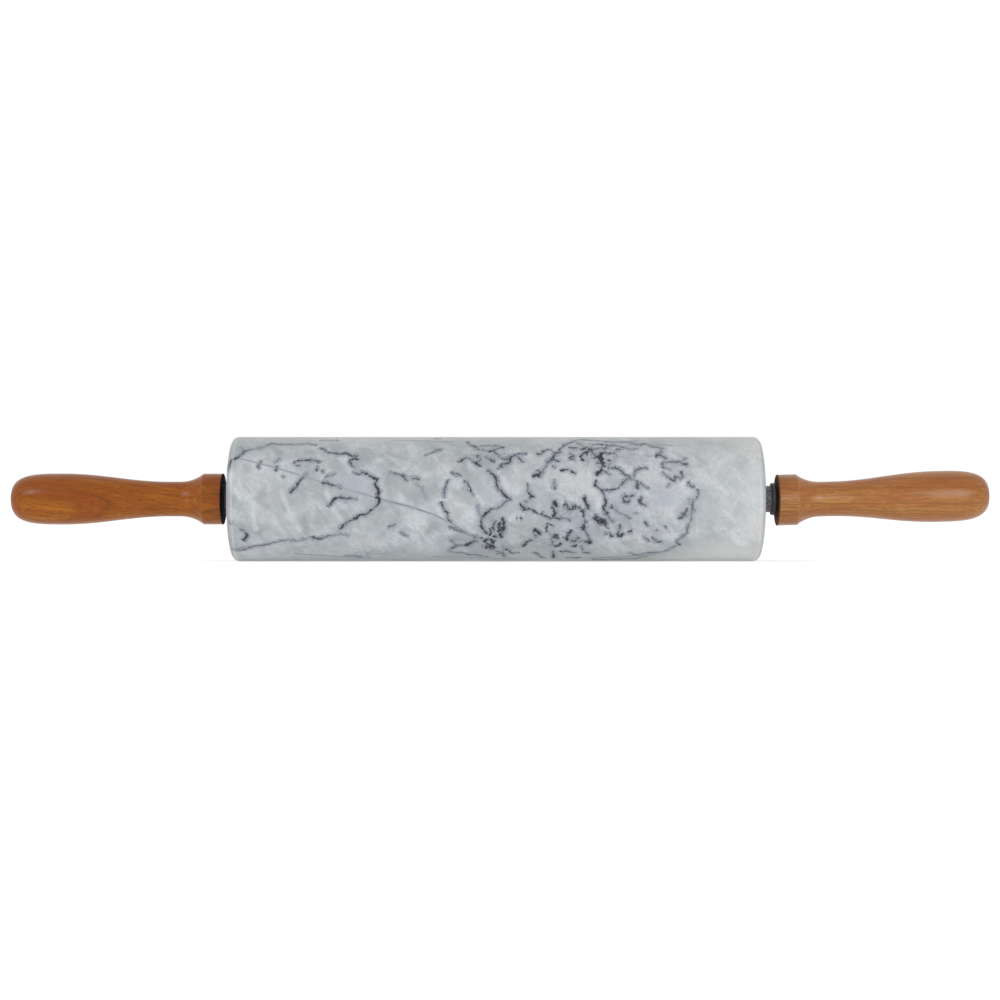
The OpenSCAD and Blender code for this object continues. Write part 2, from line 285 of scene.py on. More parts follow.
    [(30, -43, 1.2), (30.5, -46, 1.4), (29, -47, 1), (26, -46, 0.6)],
    [(30.5, -55, 1.2), (31.5, -57, 1.1), (33, -56, 1), (34.5, -56, 1), (36.5, -58, 0.7),
     (38.5, -58, 0.7)],
    # Right of the middle
    [(38.5, 63, 0.8), (41, 58, 0.9), (43, 55, 1.1), (45, 51, 1.1), (45.5, 48, 1.1), (46.5, 44, 1.2),
     (47.5, 42, 1.2), (48.5, 40, 1), (49.5, 37, 1.2), (50, 35, 1.5), (50, 30, 1.2), (50, 27, 1.4),
     (48.5, 25, 1.4), (47.5, 24, 1.7), (47.5, 21, 1.5)],
    [(40.5, 51, 1.4), (41.5, 53, 0.9), (43, 55, 1)],
    [(34.5, 46, 0.9), (37, 43, 0.9), (34.5, 40, 1.2), (35.5, 38, 1.1), (37, 40, 0.8)],
    [(39.5, 42, 1.7), (40.5, 44, 1.1), (41.5, 47, 1.2), (44, 48, 1.4)],
    [(40.5, 38, 1.1), (41, 40, 1)],
    [(46.5, 41, 1.4), (46.5, 40, 1.2)],
    [(49.5, 36, 1.4), (51, 35, 1.5), (52, 34, 1.2)],
    [(51, 32, 1.7), (51.5, 31, 1.5)],
    [(47, 34, 1.1), (48, 35, 0.9), (49.5, 35, 1)],
    [(50.5, 27, 1), (52, 25, 0.8), (53.5, 22, 0.6)],
    [(45, 51, 0.9), (47, 52, 0.8), (51, 54, 1), (54, 57, 0.7)],
    [(49, 48, 0.8), (51.5, 46, 0.9), (55, 46, 1), (57, 46, 1)],
    [(57, 52, 1.1), (59, 52, 0.8), (61, 52, 0.5)],
    [(38.5, 70, 0.6), (43, 71, 0.6), (49.5, 68, 0.6)],
    [(54, 38, 1), (53, 31, 0.7), (54, 29, 1), (56.5, 29, 1.1), (57.5, 28, 1.1), (59, 26, 1),
     (59.5, 23, 1.2), (61, 22, 1), (62.5, 20, 1.1), (63.5, 18, 1), (65.5, 17, 0.9)],
    [(47, 17, 0.7), (46, 13, 1.2), (47.5, 11, 1.2), (49.5, 8, 1), (51.5, 8, 1.1), (53.5, 8, 1),
     (55, 9, 1.2), (56.5, 10, 1), (57.5, 11, 0.8), (59.5, 14, 1), (61, 17, 0.8), (62.5, 19, 0.9)],
    [(49.5, 8, 0.9), (50.5, 5, 1.1), (51, 1, 1.2), (52, -3, 1.4), (51, -6, 1.4), (52, -7, 1)],
    [(50, -7, 1.5), (51, -10, 1.4), (52, -12, 1.4), (52.5, -15, 1.1), (53.5, -18, 1.2),
     (55.5, -22, 0.7)],
    [(59.5, 0, 1.1), (60, 2, 1.1), (62, 2, 1.1), (63, -2, 1.2), (61.5, -3, 1.2), (60, -2, 1.2),
     (59.5, 0, 1.1)],
    [(60, 5, 0.8), (60.5, 3, 0.9), (62.5, 2, 1), (64, 3, 1.4), (64.5, 2, 1.1)],
    [(41.5, 3, 1.1), (41.5, 0, 2), (42, -2, 1.7), (43, -7, 1.1), (43.5, -10, 1)],
    [(35, -5, 0.7), (36.5, -6, 0.8), (37.5, -9, 1), (39, -7, 1.1), (40, -9, 0.9), (40.5, -12, 1.4),
     (41, -16, 1.1), (41.5, -18, 0.8), (42, -22, 0.9), (40.5, -26, 1), (41, -29, 1.1), (42.5, -31, 1),
     (43.5, -34, 1.1), (44, -39, 0.7), (44.5, -44, 1.4)],
    [(35, -41, 0.8), (37, -42, 1), (39, -42, 0.8), (41.5, -42, 1.1), (43, -43, 1.5), (44.5, -44, 1.7),
     (45, -42, 1.1)],
    [(35.5, -29, 1.4), (35, -31, 1), (34.5, -34, 1.7), (33.5, -36, 1.2), (33.5, -39, 1.7),
     (34.5, -41, 0.9)],
    [(38.5, -36, 0.8), (39, -39, 1)],
    [(36, -48, 1.4), (37, -49, 1.8), (38, -46, 1.4)],
    [(40, -48, 1.1), (41, -52, 1), (41.5, -54, 0.8)],
    [(41.5, -58, 0.9), (43.5, -59, 1.4), (44.5, -59, 1)],
    [(33, -70, 0.8), (36, -68, 0.9), (38, -70, 0.9), (40, -68, 1.1)],
    [(46, -74, 1), (50, -76, 0.9), (55.5, -73, 0.8), (61.5, -73, 0.9), (67, -71, 0.8), (69.5, -68, 0.8),
     (72.5, -65, 0.8)],
    [(46.5, -14, 1.4), (47.5, -18, 1.7), (49, -21, 1.7), (50.5, -23, 1.4)],
    [(48.5, -18, 1.4), (50, -20, 1.7), (51.5, -19, 1.4), (51.5, -23, 1.9), (51.5, -26, 1.2),
     (53, -27, 0.9)],
    [(51, -31, 1), (52.5, -34, 1.1)],
    [(53.5, -31, 0.9), (54, -35, 1.1), (55, -36, 1.5)],
    [(54, -6, 0.9), (54.5, -9, 1.1)],
    [(56, -9, 0.8), (57, -12, 0.9), (58.5, -13, 0.8), (60, -14, 0.9), (61.5, -16, 0.9),
     (63.5, -18, 0.9)],
    [(58.5, -23, 0.8), (58.5, -27, 1.4), (58, -30, 1.2), (57, -34, 1.4), (58, -36, 1.5),
     (59.5, -35, 1.7), (59.5, -31, 1)],
    [(62, -31, 0.8), (64, -30, 1.5)],
    # Right end of the veins
    [(64, 62, 0.8), (69, 59, 1), (70.5, 62, 1.1), (72, 61, 0.9), (74, 57, 1.1), (78, 53, 0.8),
     (79.5, 53, 0.8)],
    [(78, 52, 0.8), (78.5, 48, 0.9), (76.5, 44, 1)],
    [(76, 41, 0.9), (76, 44, 1.2), (77.5, 44, 0.9), (80, 40, 1.5), (81, 40, 1)],
    [(65, 53, 0.7), (67.5, 53, 0.6)],
    [(81.5, 36, 1.1), (83.5, 36, 1.1), (85.5, 36, 1.2), (87, 36, 0.9), (88.5, 38, 0.9),
     (90.5, 40, 0.8)],
    [(87, 35, 0.8), (89, 33, 1.1), (90.5, 33, 0.9)],
    [(81.5, 35, 0.8), (78.5, 34, 1.2), (79, 29, 1.4)],
    [(79, 30, 1.1), (81, 29, 1.1), (82.5, 27, 0.8)],
    [(78, 26, 0.9), (79, 24, 0.8), (80.5, 20, 0.9), (81.5, 18, 1.1), (83, 16, 1.5), (84, 18, 1.1),
     (83, 20, 1.2), (84.5, 21, 1.1), (86, 19, 1.1), (87, 19, 1), (87.5, 22, 1.2), (86.5, 25, 1.5)],
    [(82, 15, 0.7), (80, 11, 0.7)],
    [(64.5, 19, 0.8), (65, 24, 0.8), (65.5, 26, 1.1), (67, 28, 1.1), (70, 30, 0.8), (71.5, 29, 0.9)],
    [(66.5, 17, 1.3), (66.5, 13, 1.5), (66.5, 9, 1.4)],
    [(67.5, 16, 1.1), (68.5, 13, 1), (70, 11, 0.8), (72, 10, 0.9)],
    [(90, 15, 0.9), (91, 11, 1), (93.5, 11, 1.4)],
    [(94.5, 9, 1), (95, 6, 1.1), (94.5, 2, 0.9), (93.5, -1, 0.8), (90, 0, 0.6)],
    [(92.5, -2, 1.1), (92, -5, 1.1), (92, -9, 1.1), (93.5, -11, 0.8)],
    [(89.5, -8, 1.1), (89.5, -12, 1.4), (88, -14, 1.7), (87, -16, 1.8), (86, -18, 1.5)],
    [(88.5, -16, 1), (90, -15, 0.7)],
    [(92, -11, 0.7), (92, -15, 0.9), (92, -19, 1), (91, -22, 0.8), (90.5, -25, 1.1), (90, -29, 1),
     (90, -33, 1.2), (88.5, -34, 0.8), (85.5, -41, 0.8), (86, -44, 1.1), (87.5, -46, 1.2)],
    [(85, -47, 0.8), (83, -50, 0.8), (81.5, -53, 0.7), (79, -57, 0.7), (76.5, -58, 0.9), (72.5, -58, 1),
     (69, -61, 0.8), (67, -63, 1), (65.5, -62, 0.9), (63, -58, 0.8)],
    [(68, 2, 1.5), (68, 0, 1.4), (67, -2, 1.6), (68, -4, 1.4), (69.5, -5, 1), (70.5, -7, 0.9)],
    [(65.5, -12, 1.2), (65.5, -14, 1.2)],
    [(69.5, -21, 0.8), (70.5, -23, 1), (70.5, -25, 0.9)],
    [(79.5, -25, 1.1), (80, -28, 1.2)],
    [(75.5, -29, 0.9), (75.5, -30, 0.9)],
    [(73.5, -36, 1), (74.5, -39, 1.4), (76, -42, 1.7), (77, -43, 1.9), (78.5, -41, 1.3)],
    [(69.5, -36, 1), (71, -39, 0.9), (72.5, -42, 0.8)],
]

# Straight hairlines, cracks that came last and healed clean across everything else
HAIRLINE_HALF_WIDTH_MM = 0.4
HAIRLINES = [
    [(-121.5, 40, 0), (-108, 32, 0.35), (-92, 22, 0.2), (-81.5, 15, 0.1), (-63, 5, 0.3),
     (-53.5, -0.5, 0.6), (-41, -6.5, 0.75), (-30, -13.5, 0.6), (-21, -22, 0.6), (-13, -33, 0.4)],
    [(-22, -25, 0.8), (-14, -31, 0.6)],
    [(-125, -52.5, 0.9), (-98, -40, 0.8)],
    [(-50, 70, 0.4), (-20, 66, 0.5)],
    [(40, 72, 0.7), (62, 64, 0.8), (84, 58, 0.4)],
    [(44, 62, 0.7), (66, 52, 0.6)],
    [(-30, -66, 0.5), (10, -72, 0.6)],
    [(-96, -60, 0.4), (-60, -70, 0.5)],
    [(46, -70, 0.8), (76, -62, 0.7)],
]

# Each route is cut into runs that keep near one of four directions. In that direction's own
# axes a run is a curve with one place for each step along it, so many runs share one track: a
# curve of places and a curve of darkness. A track is short enough for the curves' 256 steps.
DIRECTIONS = [0, 45, 90, 135]
TRACK_SPAN_MM = 130
END_TAPER_MM = 1.4
# A curve holds places over this range, and darkness from faintest to darkest, as 0 to 1
PLACE_RANGE_MM = 280
FAINTEST = -3
DARKEST = 2.5


def turned(point, direction):
    """A point of a route, in millimetres, along and across a direction."""
    cosine = math.cos(math.radians(direction))
    sine = math.sin(math.radians(direction))
    along = point[0]
    arc = point[1] * ARC_MM
    return along * cosine + arc * sine, arc * cosine - along * sine, point[2]


def runs_of(route):
    """The route as (direction, points) runs, each rising along its own direction."""
    runs = []
    for a, b in zip(route, route[1:]):
        heading = math.degrees(math.atan2((b[1] - a[1]) * ARC_MM, b[0] - a[0])) % 180
        nearest = min(DIRECTIONS, key=lambda d: abs((heading - d + 90) % 180 - 90))
        pair = [turned(a, nearest), turned(b, nearest)]
        rising = pair[1][0] > pair[0][0]
        if runs and runs[-1][0] == nearest and runs[-1][2] == rising:
            runs[-1][1].append(pair[1])
        else:
            runs.append([nearest, pair, rising])
    return [(direction, points if rising else points[::-1]) for direction, points, rising in runs]


def tracks_of(routes):
    """Tracks of runs that follow each other along one direction, with room between their ends."""
    all_runs = [run for route in routes for run in runs_of(route)]
    tracks = []
    for direction, points in sorted(all_runs, key=lambda run: (run[0], run[1][0][0])):
        for track in tracks:
            clear = points[0][0] - track[1][-1][-1][0] > 2 * END_TAPER_MM
            short = points[-1][0] - track[1][0][0][0] < TRACK_SPAN_MM
            if track[0] == direction and clear and short:
                track[1].append(points)
                break
        else:
            tracks.append((direction, [points]))
    return tracks


def set_curve(node, points):
    """Gives a curve node straight lines through points."""
    curve = node.mapping.curves[0]
    curve.points[0].location = points[0]
    curve.points[1].location = points[-1]
    for point in points[1:-1]:
        curve.points.new(*point)
    for point in curve.points:
        point.handle_type = "VECTOR"
    node.mapping.extend = "HORIZONTAL"
    node.mapping.update()


def vein_field(tree, along, arc, routes, half_width_mm):
    """How strongly the routes' lines show: their darkness on a line, falling by 1 each half width."""
    axes = {}
    for direction in DIRECTIONS:
        cosine = math.cos(math.radians(direction))
        sine = math.sin(math.radians(direction))
        part = add(tree, "Math", {0: arc, 1: sine}, operation="MULTIPLY")
        ahead = add(tree, "Math", {0: along, 1: cosine, 2: part}, operation="MULTIPLY_ADD")
        part = add(tree, "Math", {0: arc, 1: cosine / PLACE_RANGE_MM, 2: 0.5}, operation="MULTIPLY_ADD")
        aside = add(tree, "Math", {0: along, 1: -sine / PLACE_RANGE_MM, 2: part}, operation="MULTIPLY_ADD")
        axes[direction] = (ahead, aside)
    span = DARKEST - FAINTEST
    fall = -PLACE_RANGE_MM / half_width_mm / span
    field = None
    for direction, runs in tracks_of(routes):
        ahead, aside = axes[direction]
        start = runs[0][0][0] - END_TAPER_MM
        end = runs[-1][-1][0] + END_TAPER_MM
        places = []
        darks = []
        for points in runs:
            first = (points[0][0] - END_TAPER_MM, points[0][1], FAINTEST)
            last = (points[-1][0] + END_TAPER_MM, points[-1][1], FAINTEST)
            for point_ahead, point_aside, dark in [first] + points + [last]:
                step = (point_ahead - start) / (end - start)
                places.append((step, point_aside / PLACE_RANGE_MM + 0.5))
                darks.append((step, (dark - FAINTEST) / span))
        step = add(tree, "MapRange", {0: ahead, 1: start, 2: end})
        place = add(tree, "FloatCurve", {"Value": step}, out=None)
        set_curve(place, places)
        dark = add(tree, "FloatCurve", {"Value": step}, out=None)
        set_curve(dark, darks)
        gap = add(tree, "Math", {0: aside, 1: place.outputs[0]}, operation="SUBTRACT")
        gap = add(tree, "Math", {0: gap}, operation="ABSOLUTE")
        line = add(tree, "Math", {0: gap, 1: fall, 2: dark.outputs[0]}, operation="MULTIPLY_ADD")
        if field is None:
            field = line
        else:
            field = add(tree, "Math", {0: field, 1: line}, operation="MAXIMUM")
    return add(tree, "Math", {0: field, 1: span, 2: FAINTEST}, operation="MULTIPLY_ADD")


# Soft patches in the stone: millimetres along, degrees up, half length and half height in
# millimetres, and strength. Lavender ones lie inside the loops of the veins.
LAVENDER_PATCHES = [
    (-66, 12, 13, 12, 0.9), (2, -4, 9, 8, 0.6), (20, 0, 9, 9, 0.4), (38, -22, 12, 12, 0.6),
    (60, -2, 9, 12, 0.9), (28, 42, 8, 8, 0.6), (80, 2, 9, 6, 0.8), (-5, -16, 6, 5, 0.6),
    (-118, -33, 6, 6, 0.5), (3, 32, 6, 4, 0.6), (62, 42, 14, 6, 0.4),
]
GREY_AND_SHADE_PATCHES = [
    (-93, -3, 7, 5, 0.6), (-92, -21, 5, 4, 0.5), (-95, 8, 12, 8, 0.3), (91, -13, 3, 4, 0.9),
    (-12, -50, 14, 5, 0.5), (-125, 33, 4, 4, 0.9), (45, 40, 6, 5, 0.5), (18, 14, 8, 8, 0.2),
    # The two widest grey patches, along the bottom, are painted shade
    (-50, -76, 80, 15, 0.5), (40, -78, 60, 10, 0.3), (-18, -39, 10, 3, 0.9), (-2.5, -18, 4, 5, 0.9),
    (-5, -41, 6, 3, 1.0), (36.5, -35, 4, 3, 0.8), (16.5, -4, 3, 3, 0.9), (31, -11, 4.5, 4, 0.6),
    (1, 15, 3, 4, 0.7), (4, 29, 3, 3, 0.8), (-4, 35, 4, 3, 0.5), (60, 1, 3, 3, 0.8),
    (54, -6, 3, 3, 0.7), (48, 34, 3.5, 6, 0.8), (50, 14, 4, 2, 0.5), (-66, 35, 2.5, 4, 0.8),
    (-57, 11, 3, 6, 0.7), (-89, 48, 6, 3, 0.7),
]
CREAM_PATCHES = [
    (112, -66, 26, 14, 1.0), (92, -72, 18, 8, 0.8), (122, 60, 12, 14, 0.9), (120, 10, 6, 20, 0.3),
]
# Places where the fine broken veins crowd together
CROWDS = [
    (48, 45, 18, 12, 1.0), (25, -40, 20, 10, 1.0), (0, -50, 20, 8, 0.9), (45, -20, 16, 12, 0.8),
    (0, 45, 14, 8, 0.7), (35, -8, 14, 10, 0.6), (70, -30, 14, 12, 0.4), (-60, -62, 16, 8, 0.8),
    (70, 40, 16, 10, 0.4),
]
# Routes of pale streaks of younger calcite, given as the veins' are
STREAK_HALF_WIDTH_MM = 1.6
PALE_STREAKS = [
    [(-121, 20, 0.6), (-119, 8, 0.6)],
    [(-114.5, -2, 1.0), (-113, -30, 0.9)],
    [(-101, 8, 0.7), (-97.5, -8, 0.9), (-92, -30, 1.0)],
    [(-80, 8, 0.8), (-76.5, -8, 1.0), (-71, -25, 1.0)],
    [(-38, -25, 0.5), (-30, -45, 0.6)],
    [(-12, 12, 0.7), (-6, -5, 0.8)],
    [(-14, -25, 0.7), (-10, -32, 0.8)],
    [(16, -5, 0.8), (20, -14, 0.9)],
    [(48, 2, 1.0), (48, -12, 1.0)],
    [(53, -38, 0.8), (57, -60, 0.9)],
    [(80, -25, 0.6), (84, -30, 0.6)],
    [(98, 22, 0.6), (104, 12, 0.9), (109, 4, 0.8)],
    [(107, -10, 0.8), (113, -22, 0.8)],
]


# A patch has faded out at this many half lengths from its middle
PATCH_END = 1.25


def patch_field(tree, spot, patches):
    """The strongest of some soft round patches at each place."""
    field = None
    for along_mm, degrees, half_length, half_height, strength in patches:
        away = add(tree, "VectorMath", {0: spot, 1: (along_mm, degrees * ARC_MM, 0)}, operation="SUBTRACT")
        away = add(tree, "VectorMath", {0: away, 1: (1 / half_length, 1 / half_height, 0)},
                   operation="MULTIPLY")
        away = add(tree, "VectorMath", {0: away}, out="Value", operation="LENGTH")
        patch = add(tree, "MapRange", {0: away, 1: PATCH_END, 2: 0, 4: strength},
                    interpolation_type="SMOOTHSTEP")
        if field is None:
            field = patch
        else:
            field = add(tree, "Math", {0: field, 1: patch}, operation="MAXIMUM")
    return field


def place_in_mm(tree):
    """Where a point of the piece is in the frame, in millimetres."""
    place = add(tree, "TexCoord", {}, out="Object")
    return add(tree, "VectorMath", {0: place, "Scale": 1 / MM}, operation="SCALE")


# Polished marble: calcite grains under a millimetre across give a cloudy, faintly sparkling
# body, and the satin polish a soft reflection with no sharp edge.
STONE_DARK = "#979DA0"
STONE_MID = "#ABB0B3"
STONE_PALE = "#B9BEC1"
STONE_PALEST = "#C1C6C9"
RIGHT_DARK = "#ACB0B4"
RIGHT_PALE = "#CCCFD1"
STONE_WHITE = "#C8CCCE"
STONE_WARM = "#BBBABC"
STONE_CREAM = "#CFD0CC"
STONE_GREEN = "#B0B6B3"
STONE_LAVENDER = "#A2A6B4"
STONE_SHADE = "#8D9496"
STONE_SOOT = "#858A95"
STONE_END_GREY_AND_SHADE = "#9A9998"
VEIN_BLUR = "#878C98"
VEIN_GREY = "#787D88"
VEIN_SLATE = "#5C6069"
VEIN_DARK = "#363A43"
VEIN_BLACK = "#15191F"
material, tree = new_material("polished marble, white with grey veins")

# Places are taken along the barrel and round it from the front. The back carries the front's
# veins turned end for end and shifted, so that it doesn't look like a mirror image.
BACK_SHIFT_MM = 33
where = place_in_mm(tree)
x_mm, y_mm, z_mm = add(tree, "SeparateXYZ", {0: where}, out=None).outputs
depth = add(tree, "Math", {0: y_mm}, operation="ABSOLUTE")
angle = add(tree, "Math", {0: z_mm, 1: depth}, operation="ARCTAN2")
arc = add(tree, "Math", {0: angle, 1: BARREL_R_MM}, operation="MULTIPLY")
is_back = add(tree, "Math", {0: y_mm, 1: 0}, operation="GREATER_THAN")
turned_back = add(tree, "Math", {0: BACK_SHIFT_MM, 1: x_mm}, operation="SUBTRACT")
along = add(tree, "Mix", {0: is_back, 2: x_mm, 3: turned_back})

# The bends of a healed crack, some millimetres long, and its crumbly edge, about a millimetre:
# sway is a place pushed by the bends alone, and bend is one pushed by both
BEND_MM = 5.0
BEND_DEPTH_MM = 2.2
EDGE_MM = 1.1
EDGE_DEPTH_MM = 1.3
ways = [add(tree, "CombineXYZ", {0: along, 1: arc})]
for length_mm, depth_mm, detail in [(BEND_MM, BEND_DEPTH_MM, 3.0), (EDGE_MM, EDGE_DEPTH_MM, 2.0)]:
    push = add(tree, "TexNoise", {"Vector": where, "Scale": 1 / length_mm, "Detail": detail,
               "Roughness": 0.6}, out="Color")
    push = add(tree, "VectorMath", {0: push, 1: (0.5, 0.5, 0.5)}, operation="SUBTRACT")
    ways.append(add(tree, "VectorMath", {0: push, 1: (depth_mm,) * 3, 2: ways[-1]},
                    operation="MULTIPLY_ADD"))
sway, bend = ways[1:]
sway_part = add(tree, "SeparateXYZ", {0: sway}, out=None).outputs
bend_part = add(tree, "SeparateXYZ", {0: bend}, out=None).outputs
veins = vein_field(tree, bend_part[0], bend_part[1], VEINS, VEIN_HALF_WIDTH_MM)

# The stone is shattered finely beside the main veins and wherever they crowd together
crowd = patch_field(tree, bend, CROWDS)
near = add(tree, "MapRange", {0: veins, 1: -2.6, 2: 0.4, 4: 0.8})
broken = add(tree, "Math", {0: near, 1: crowd}, operation="ADD")
# A finer crack follows many veins about a millimetre away, in broken lengths
ECHO_LENGTH_MM = 3.0
beside = add(tree, "TexNoise", {"Vector": where, "Scale": 1 / ECHO_LENGTH_MM, "Detail": 2.0,
             "Roughness": 0.6}, out="Fac")
beside = add(tree, "MapRange", {0: beside, 1: 0.48, 2: 0.62, 3: -1.6, 4: 0.5})
echo = add(tree, "Math", {0: veins, 1: 0.7}, operation="ADD")
echo = add(tree, "Math", {0: echo}, operation="ABSOLUTE")
echo = add(tree, "Math", {0: echo, 1: -2.4, 2: beside}, operation="MULTIPLY_ADD")
veins = add(tree, "Math", {0: veins, 1: echo}, operation="MAXIMUM")
# Two nets of cracks, coarse and fine, show in patches. A net has the width of its cells and of
# its cracks in millimetres, a shift that keeps its patches apart from the other's, and darkness.
NET_PATCH_MM = 4.0
for cell_mm, width_mm, shift_mm, gain in [(4.5, 0.5, 0, 2.6), (2.0, 0.3, 50, 2.4)]:
    net = add(tree, "TexNoise", {"Vector": where, "Scale": 1.4 / cell_mm, "Detail": 2.0}, out="Color")
    net = add(tree, "VectorMath", {0: net, 1: (cell_mm * 0.7,) * 3, 2: where}, operation="MULTIPLY_ADD")
    net = add(tree, "TexVoronoi", {"Vector": net, "Scale": 1 / cell_mm}, feature="DISTANCE_TO_EDGE")
    patchy = add(tree, "VectorMath", {0: where, 1: (shift_mm,) * 3}, operation="ADD")
    patchy = add(tree, "TexNoise", {"Vector": patchy, "Scale": 1 / NET_PATCH_MM, "Detail": 3.0,
                 "Roughness": 0.6}, out="Fac")
    patchy = add(tree, "MapRange", {0: patchy, 1: 0.42, 2: 0.62})
    patchy = add(tree, "Math", {0: patchy, 1: broken}, operation="MULTIPLY")
    patchy = add(tree, "Math", {0: patchy, 1: gain, 2: -1.5}, operation="MULTIPLY_ADD")
    net = add(tree, "Math", {0: net, 1: -cell_mm / width_mm, 2: patchy}, operation="MULTIPLY_ADD")
    veins = add(tree, "Math", {0: veins, 1: net}, operation="MAXIMUM")

# Veins swell and thin along their length, and white grains break up all but the hairlines,
# and most of all the middles of the knots
SWELL_MM = 3.0
CRUMB_MM = 1.1
FULL_DARK = 1.15
swell = add(tree, "TexNoise", {"Vector": where, "Scale": 1 / SWELL_MM, "Detail": 2.0}, out="Fac")
swell = add(tree, "MapRange", {0: swell, 1: 0.3, 2: 0.7, 3: -0.4, 4: 0.6})
crumb = add(tree, "TexNoise", {"Vector": where, "Scale": 1 / CRUMB_MM, "Detail": 3.0, "Roughness": 0.6},
            out="Fac")
crumb = add(tree, "MapRange", {0: crumb, 1: 0.3, 2: 0.7, 3: -0.65, 4: 0.65})
crumb = add(tree, "Math", {0: crumb, 1: swell}, operation="ADD")
broad = add(tree, "MapRange", {0: veins, 1: 0.3, 2: 1.2, 3: 0.5, 4: 1.0})
veins = add(tree, "Math", {0: veins, 1: FULL_DARK}, operation="MINIMUM")
veins = add(tree, "Math", {0: crumb, 1: broad, 2: veins}, operation="MULTIPLY_ADD")
hairlines = vein_field(tree, along, arc, HAIRLINES, HAIRLINE_HALF_WIDTH_MM)
veins = add(tree, "Math", {0: veins, 1: hairlines}, operation="MAXIMUM")

# Clouds in the stone from 30 mm down to 2 mm, wisps drawn out along its old bedding, and grains.
# Towards the right end the stone is paler.
CLOUD_MM = 30
PUFF_MM = 9
WISP_LENGTH_MM = 15
WISP_WIDTH_MM = 4
BEDDING_DEGREES = -50
GRAIN_MM = 0.9
RIGHT_FROM_MM = 84.0
RIGHT_FULL_MM = 112.0
clouds = add(tree, "TexNoise", {"Vector": where, "Scale": 1 / CLOUD_MM, "Detail": 3.0,
             "Roughness": 0.55}, out="Fac")
puffs = add(tree, "TexNoise", {"Vector": where, "Scale": 1 / PUFF_MM, "Detail": 2.0,
            "Roughness": 0.45, "Distortion": 0.6}, out="Fac")
bedding = add(tree, "Mapping", {"Vector": bend, "Rotation": (0, 0, math.radians(BEDDING_DEGREES)),
              "Scale": (WISP_LENGTH_MM, WISP_WIDTH_MM, 1)}, vector_type="TEXTURE")
wisps = add(tree, "TexNoise", {"Vector": bedding, "Scale": 1.0, "Detail": 2.0, "Roughness": 0.45,
            "Distortion": 0.9}, out="Fac")
grains = add(tree, "TexNoise", {"Vector": where, "Scale": 1 / GRAIN_MM, "Detail": 2.0,
             "Roughness": 0.6}, out="Fac")
cloudy = add(tree, "Math", {0: clouds, 1: puffs}, operation="ADD")
cloudy = add(tree, "Math", {0: wisps, 1: 0.55, 2: cloudy}, operation="MULTIPLY_ADD")
cloudy = add(tree, "Math", {0: grains, 1: 0.08, 2: cloudy}, operation="MULTIPLY_ADD")
cloudy = add(tree, "MapRange", {0: cloudy, 1: 1.085, 2: 1.53})
stone = add(tree, "ValToRGB", {0: cloudy}, out=None)
ramp = stone.color_ramp.elements
ramp[0].color = linear(STONE_DARK)
ramp[1].color = linear(STONE_PALEST)
ramp.new(0.5).color = linear(STONE_MID)
ramp.new(0.8).color = linear(STONE_PALE)
right_stone = add(tree, "Mix", {0: cloudy, 6: linear(RIGHT_DARK), 7: linear(RIGHT_PALE)}, out=2,
                  data_type="RGBA")
right = add(tree, "MapRange", {0: bend_part[0], 1: RIGHT_FROM_MM, 2: RIGHT_FULL_MM},
            interpolation_type="SMOOTHSTEP")
stone = add(tree, "Mix", {0: right, 6: stone.outputs[0], 7: right_stone}, out=2, data_type="RGBA")

# Iron and clay warm it or turn it greenish here and there, and above and below the front it is
# painted greener as shade where it turns away. It has cream patches near its right end, and pale streaks.
TINT_MM = 30
SIDE_SHADE_FROM_MM = 22.0
SIDE_SHADE_FULL_MM = 38.0
tint = add(tree, "TexNoise", {"Vector": where, "Scale": 1 / TINT_MM, "Detail": 2.0}, out="Fac")
warm = add(tree, "MapRange", {0: tint, 1: 0.5, 2: 0.7, 4: 0.5})
green_tint = add(tree, "MapRange", {0: tint, 1: 0.46, 2: 0.3, 4: 0.6})
off_front = add(tree, "Math", {0: arc}, operation="ABSOLUTE")
# Painted shade, greener, above and below the front
side_shade = add(tree, "MapRange", {0: off_front, 1: SIDE_SHADE_FROM_MM, 2: SIDE_SHADE_FULL_MM, 4: 0.4})
cream = patch_field(tree, bend, CREAM_PATCHES)
streaks = vein_field(tree, sway_part[0], sway_part[1], PALE_STREAKS, STREAK_HALF_WIDTH_MM)
streaks = add(tree, "MapRange", {0: streaks, 1: -0.6, 2: 1.0, 4: 0.65}, interpolation_type="SMOOTHSTEP")

# Thin white seams of healed cracks cross it everywhere, faint and broken
SEAM_CELL_MM = 9
SEAM_HALF_WIDTH_MM = 0.4
seams = add(tree, "VectorMath", {0: bend, 1: (1, 0.6, 1)}, operation="MULTIPLY")
seams = add(tree, "TexVoronoi", {"Vector": seams, "Scale": 1 / SEAM_CELL_MM}, feature="DISTANCE_TO_EDGE")
seams = add(tree, "MapRange", {0: seams, 1: SEAM_HALF_WIDTH_MM / SEAM_CELL_MM, 2: 0.0, 4: 0.35})
seam_lengths = add(tree, "MapRange", {0: wisps, 1: 0.5, 2: 0.62})
seams = add(tree, "Math", {0: seams, 1: seam_lengths}, operation="MULTIPLY")
